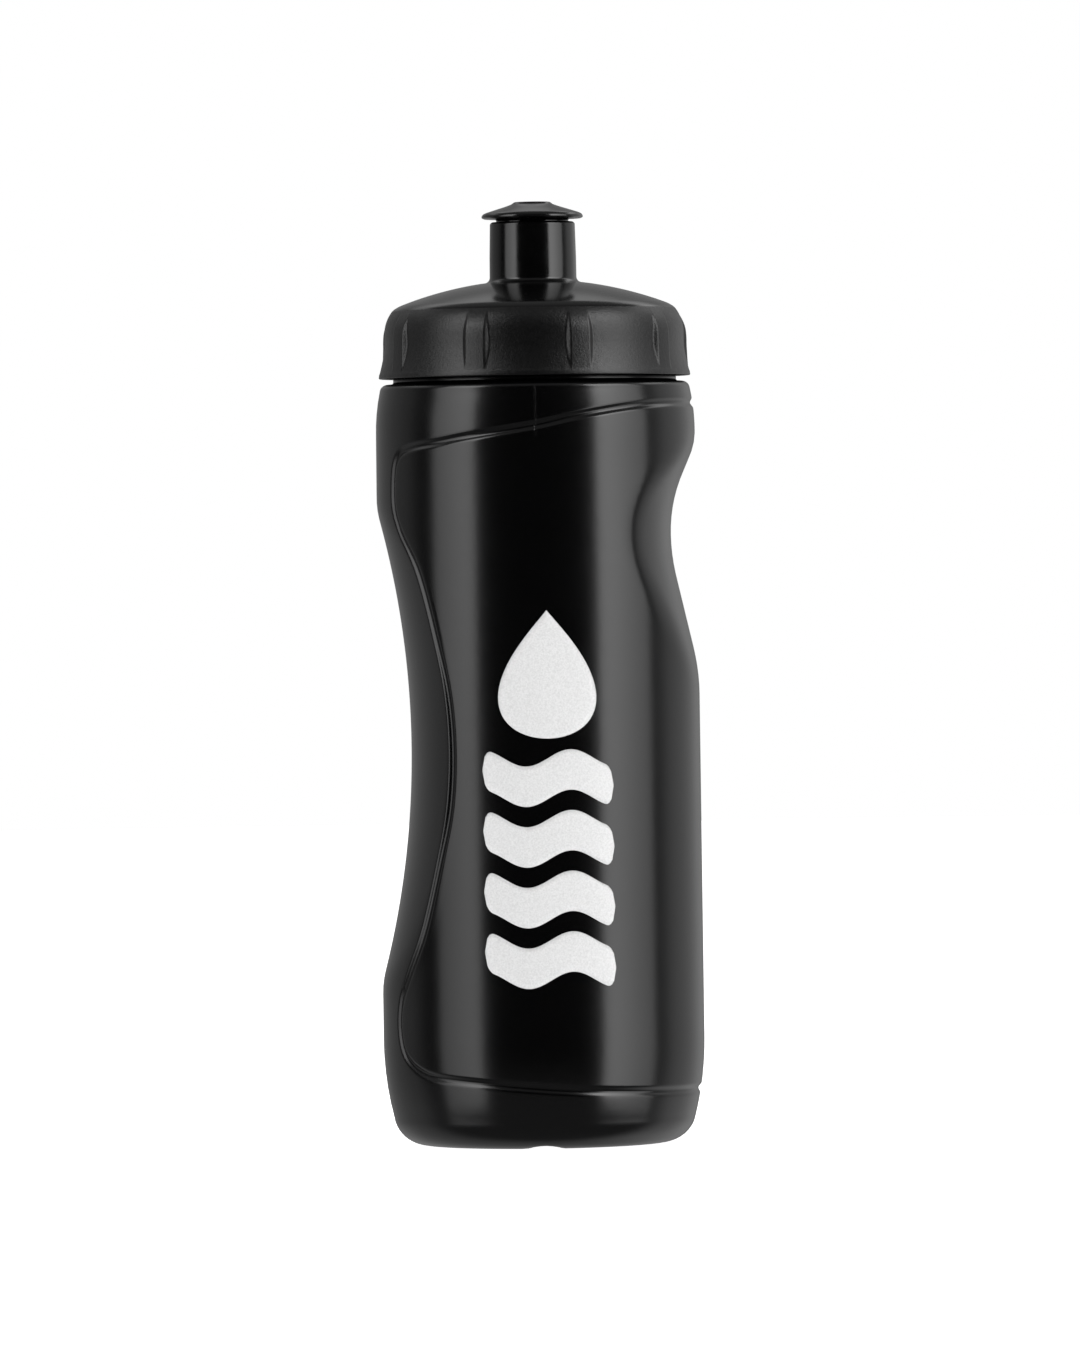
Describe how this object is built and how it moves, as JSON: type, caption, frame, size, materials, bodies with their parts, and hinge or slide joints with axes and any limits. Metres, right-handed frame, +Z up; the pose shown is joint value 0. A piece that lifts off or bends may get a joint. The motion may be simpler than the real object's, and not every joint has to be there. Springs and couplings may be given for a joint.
{
  "type": "sports squeeze bottle",
  "caption": "Waisted soft bottle with thumb and finger grips, a ribbed domed screw cap and a push-pull drinking spout.",
  "frame": {"origin": "centre of the standing ring, on the bottle's axis at floor level", "axes": "+Z up along the bottle's axis; -Y is the decorated front; +X is the side of the finger grip and -X the side of the long thumb grip"},
  "size_m": [0.074, 0.074, 0.2169],
  "materials": {
    "bottle": "satin black, soft enough to squeeze",
    "seal_ring": "matt",
    "screw_cap": "fine matt skirt under a gloss dome and tower",
    "mouthpiece": "gloss"
  },
  "bodies": {
    "bottle": {"bottle": "bottle"},
    "seal": {"seal_ring": "seal_ring"},
    "cap": {"screw_cap": "screw_cap"},
    "spout": {"mouthpiece": "mouthpiece"}
  },
  "joints": [
    {"name": "cap_lift", "type": "slide", "parent": "bottle", "child": "seal", "axis": [0, 0, 1], "range_m": [0, 0.0105]},
    {"name": "cap_turn", "type": "hinge", "parent": "seal", "child": "cap", "pos_m": [0, 0, 0.18], "axis": [0, 0, 1], "range_deg": [0, 900]},
    {"name": "spout_slide", "type": "slide", "parent": "cap", "child": "spout", "axis": [0, 0, 1], "range_m": [0, 0.0062]}
  ],
  "couplings": [
    {"joint": "cap_lift", "follows": "cap_turn", "m_per_rad": 0.00066845}
  ]
}
